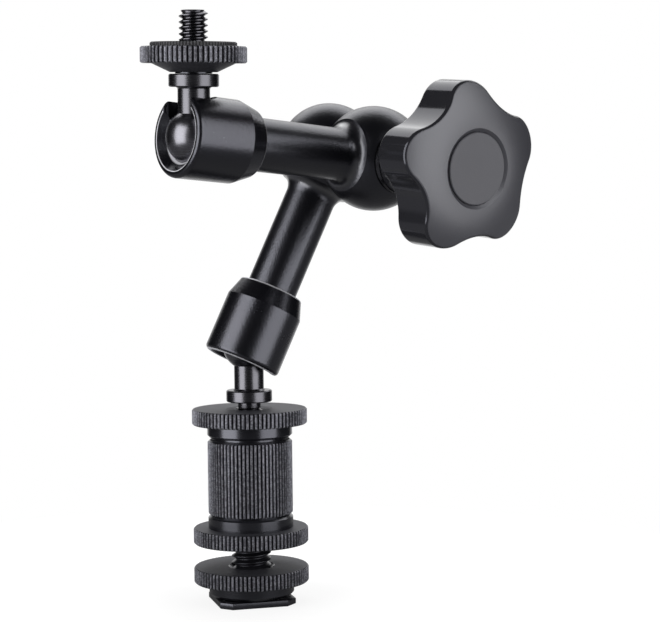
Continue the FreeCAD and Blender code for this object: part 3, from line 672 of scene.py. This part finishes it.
# %% Dress the loaded pieces
WEARS = {
    "lower_arm": lower_satin,
    "upper_arm": upper_satin,
    "lower_socket_cup": lower_cup,
    "upper_socket_cup": upper_cup,
    "rear_end_plug": lower_satin,
    "shoe_lock_wheel": wheel_black,
    "adapter_lock_wheel": wheel_black,
    "adapter_barrel": barrel_black,
    "lower_lock_nut": wheel_black,
    "upper_lock_nut": nut_black,
    "shoe_foot": blasted,
    "lower_ball_stud": lower_steel,
    "upper_ball_stud": upper_steel,
    "star_knob": knob_plastic,
    "knob_cap": cover_plastic,
    "camera_pad": rubber,
    "pivot_bush": brass,
    "knob_insert": brass,
    "lower_push_rod": bright,
    "upper_push_rod": bright,
    "front_wedge": bright,
    "rear_wedge": bright,
    "centre_bolt": bright,
    "thrust_washer": washer_steel,
    "return_spring": bright,
    "lower_ball_seat": acetal,
    "upper_ball_seat": acetal,
    "friction_washer": acetal,
}
for name, material in WEARS.items():
    piece = frame["nodes"][name]
    for slot in piece.material_slots:
        slot.material = material
    if not piece.material_slots:
        piece.data.materials.append(material)
print("pieces dressed:", len(WEARS))

# %% [markdown]
# A screw thread is one ridge that climbs as it goes round. The loaded screws are
# plain cylinders, and a bump can't give them the toothed outline that the photo
# shows. Blender's spin can rise while it turns, so a short zigzag, one pitch tall, is
# spun with a lift of one pitch a turn. Each turn meets the next, the doubles are
# merged, and two cuts make the ends level. Pulling the last ring inwards gives the
# lead-in bevel of a real screw.

# %% Screw thread
ROUND_STEPS = 48
THREAD_DEPTH = 0.6134
BEVEL = 0.6 * MM


def cut_level(mesh, before, level, side):
    """Cuts the new ridge off at a height and closes the cut."""
    ridge = [vertex for vertex in mesh.verts if vertex not in before]
    own = set(ridge)
    edges = [edge for edge in mesh.edges if edge.verts[0] in own]
    faces = [face for face in mesh.faces if face.verts[0] in own]
    cut = bmesh.ops.bisect_plane(
        mesh,
        geom=ridge + edges + faces,
        dist=1e-7,
        plane_co=(0, 0, level),
        plane_no=(0, 0, side),
        clear_outer=True,
    )
    rim = [edge for edge in cut["geom_cut"] if isinstance(edge, bmesh.types.BMEdge)]
    bmesh.ops.holes_fill(mesh, edges=rim, sides=0)


def screw_thread(mesh, crest, pitch, low, high, phase=0.0):
    """Adds a closed right-hand thread along Z from low to high, sizes in metres."""
    root = crest - pitch * THREAD_DEPTH
    profile = (
        (root, 0.0),
        (root, pitch * 0.12),
        (crest, pitch * 0.50),
        (crest, pitch * 0.62),
        (root, pitch),
    )
    start = low - pitch * (1 + phase)
    turns = math.ceil((high - low) / pitch) + 2
    points = [mesh.verts.new((x, 0, start + z)) for x, z in profile]
    lines = [mesh.edges.new(pair) for pair in zip(points, points[1:])]
    before = set(mesh.verts) - set(points)
    bmesh.ops.spin(
        mesh,
        geom=points + lines,
        cent=(0, 0, 0),
        axis=(0, 0, 1),
        dvec=(0, 0, pitch / ROUND_STEPS),
        angle=2 * math.pi * turns,
        steps=ROUND_STEPS * turns,
    )
    ridge = [vertex for vertex in mesh.verts if vertex not in before]
    bmesh.ops.remove_doubles(mesh, verts=ridge, dist=1e-6)
    cut_level(mesh, before, low, -1)
    cut_level(mesh, before, high, 1)
    for vertex in [vertex for vertex in mesh.verts if vertex not in before]:
        limit = crest - BEVEL + max(0.0, high - vertex.co.z)
        reach = math.hypot(vertex.co.x, vertex.co.y)
        if reach > limit:
            vertex.co.x *= limit / reach
            vertex.co.y *= limit / reach


print("thread tool ready, steps to a turn:", ROUND_STEPS)

# %% [markdown]
# A turned piece is drawn once as an outline beside its axis and spun a full turn, as
# on a lathe. Spheres and cylinders could be joined instead, but would leave seams
# where they meet. The outline's ends lie on the axis, so the spin closes them, and
# the doubles there are merged. A finished piece has its faces turned outwards and is
# moved to its place in its mesh. It rides on the body of the solid that it stands in
# for, and replaces it.

# %% Turned pieces and finished pieces
def spun(mesh, outline):
    """Spins an outline of (radius, height) points in metres round the Z axis."""
    points = [mesh.verts.new((x, 0, z)) for x, z in outline]
    lines = [mesh.edges.new(pair) for pair in zip(points, points[1:])]
    bmesh.ops.spin(
        mesh,
        geom=points + lines,
        cent=(0, 0, 0),
        axis=(0, 0, 1),
        angle=2 * math.pi,
        steps=96,
        use_merge=True,
    )
    bmesh.ops.remove_doubles(mesh, verts=mesh.verts, dist=1e-7)


def finished_piece(mesh, stands_for, material, body, place):
    """Puts a threaded piece in place of the plain one and shades it smooth."""
    bmesh.ops.recalc_face_normals(mesh, faces=mesh.faces)
    bmesh.ops.transform(mesh, matrix=place, verts=mesh.verts)
    name = "threaded_" + stands_for
    data = bpy.data.meshes.new(name)
    mesh.to_mesh(data)
    mesh.free()
    data.materials.append(material)
    data.set_sharp_from_angle(angle=math.radians(35))
    for polygon in data.polygons:
        polygon.use_smooth = True
    piece = bpy.data.objects.new(name, data)
    bpy.context.scene.collection.objects.link(piece)
    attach(piece, body)
    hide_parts(stands_for)
    print(name, "faces:", len(data.polygons))


print("tools for turned pieces ready")

# %% [markdown]
# A ball stud is turned from one bar: ball, neck, flange, relief and thread. Both studs
# share their diameters and differ in where the flange sits and how long the screw is.
# The upper one points up along the camera screw and the lower one down into the
# barrel, so each is made along Z and then stood along its own axis.

# %% Ball studs with their threads
BALL, NECK, FLANGE, SCREW = 6.3 * MM, 3.56 * MM, 5.52 * MM, 3.175 * MM
RELIEF, CORE, EDGE, ROOT_FILLET = 2.75 * MM, 2.45 * MM, 0.25 * MM, 0.35 * MM
RELIEF_LENGTH = 1.7 * MM
CAMERA_PITCH = 25.4 * MM / 20
BALL_POINTS = 24


def upright(origin, axis):
    """The placement that stands the Z axis of a piece along another axis."""
    turned = axis.to_track_quat("Z", "Y").to_matrix().to_4x4()
    return Matrix.Translation(origin) @ turned


def ball_stud(stands_for, near, far, end, material, body, place):
    """A stud whose flange lies from near to far and whose screw reaches to end."""
    mesh = bmesh.new()
    start = math.asin(NECK / BALL)
    outline = [(0, -BALL)]
    for count in range(1, BALL_POINTS + 1):
        angle = math.pi - (math.pi - start) * count / BALL_POINTS
        outline.append((BALL * math.sin(angle), BALL * math.cos(angle)))
    relief_end = far + RELIEF_LENGTH
    outline += [
        (NECK, near - ROOT_FILLET),
        (NECK + ROOT_FILLET, near),
        (FLANGE - EDGE, near),
        (FLANGE, near + EDGE),
        (FLANGE, far - EDGE),
        (FLANGE - EDGE, far),
        (RELIEF, far),
        (RELIEF, relief_end - (RELIEF - CORE)),
        (CORE, relief_end),
        (0, relief_end),
    ]
    spun(mesh, outline)
    screw_thread(mesh, SCREW, CAMERA_PITCH, relief_end - 0.2 * MM, end, 0.5)
    finished_piece(mesh, stands_for, material, body, place)


ball_stud(
    "upper_ball_stud",
    10.9 * MM,
    13.75 * MM,
    27.45 * MM,
    upper_steel,
    "upper_stud",
    upright(upper_ball, screw_axis),
)
ball_stud(
    "lower_ball_stud",
    11.05 * MM,
    13.85 * MM,
    29.0 * MM,
    lower_steel,
    "lower_stud",
    upright(lower_ball, -UP),
)

# %% [markdown]
# The foot is a square plate with its corners cut off, a short neck and the long
# threaded post. The plate starts as a cube: its upright edges are bevelled for the
# corners, then the rims are softened so that it slides into a shoe.

# %% Shoe foot with its threaded post
PLATE, CORNER, RIM = Vector((18.5, 18.5, 1.5)) * MM, 2.5 * MM, 0.25 * MM
FOOT_NECK, FOOT_NECK_TOP = 6.1 * MM, 1.75 * MM
POST, POST_LOW, POST_TOP = 4.7625 * MM, 1.6 * MM, 30 * MM
POST_PITCH = 25.4 * MM / 16


def bevelled(mesh, edges, offset, segments):
    bmesh.ops.bevel(
        mesh,
        geom=edges,
        offset=offset,
        segments=segments,
        affect="EDGES",
        profile=0.5,
        material=-1,
    )


def rise(edge):
    return abs(edge.verts[0].co.z - edge.verts[1].co.z)


def shoe_foot():
    mesh = bmesh.new()
    bmesh.ops.create_cube(mesh, size=1.0)
    bmesh.ops.scale(mesh, vec=PLATE, verts=mesh.verts)
    bmesh.ops.translate(mesh, vec=(0, 0, PLATE.z / 2), verts=mesh.verts)
    corners = [edge for edge in mesh.edges if rise(edge) > PLATE.z / 2]
    bevelled(mesh, corners, CORNER, 1)
    rims = [edge for edge in mesh.edges if rise(edge) < 1e-6]
    bevelled(mesh, rims, RIM, 2)
    neck = bmesh.new()
    low = PLATE.z / 2
    high = FOOT_NECK_TOP
    spun(neck, [(0, low), (FOOT_NECK, low), (FOOT_NECK, high), (0, high)])
    data = bpy.data.meshes.new("neck")
    neck.to_mesh(data)
    neck.free()
    mesh.from_mesh(data)
    bpy.data.meshes.remove(data)
    screw_thread(mesh, POST, POST_PITCH, POST_LOW, POST_TOP)
    finished_piece(mesh, "shoe_foot", blasted, "foot", Matrix())


shoe_foot()
